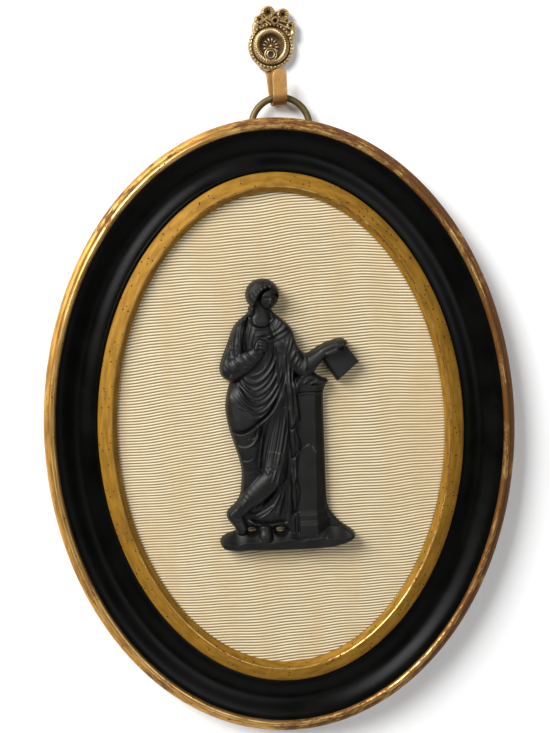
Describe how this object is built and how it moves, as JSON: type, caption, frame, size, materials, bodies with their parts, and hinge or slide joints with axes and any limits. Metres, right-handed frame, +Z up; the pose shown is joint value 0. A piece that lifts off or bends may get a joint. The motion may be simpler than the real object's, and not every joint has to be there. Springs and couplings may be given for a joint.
{
  "type": "framed relief plaque",
  "caption": "Oval wall plaque: dark moulded figure relief on ribbed silk in a black and gilt turned frame, hung by a ring on a brass wall hook.",
  "frame": {"origin": "on the flat back of the wall hook's strap, behind the middle of the rosette, in the plane of the wall", "axes": "+Z up along the plaque's height, +X to the right as seen from the front, +Y into the wall, so the relief faces -Y"},
  "size_m": [0.171, 0.0187, 0.2633],
  "materials": {
    "frame_wood": "turned wood, satin black cove with rubbed gilt rim and gilt sight band",
    "backing_wood": "plain planed wood",
    "silk": "ivory ribbed silk, stretched flat",
    "basalt": "dry black stoneware, satin",
    "dark_brass": "tarnished round wire",
    "gilt_brass": "stamped and bent sheet, aged gilt"
  },
  "bodies": {
    "root": {"frame_moulding": "frame_wood", "backing_board": "backing_wood", "silk_ground": "silk", "relief_figure": "basalt", "hanging_ring": "dark_brass", "ring_staple": "dark_brass", "hook_strap": "gilt_brass", "hook_rosette": "gilt_brass", "hook_eyelet": "gilt_brass"}
  },
  "joints": []
}
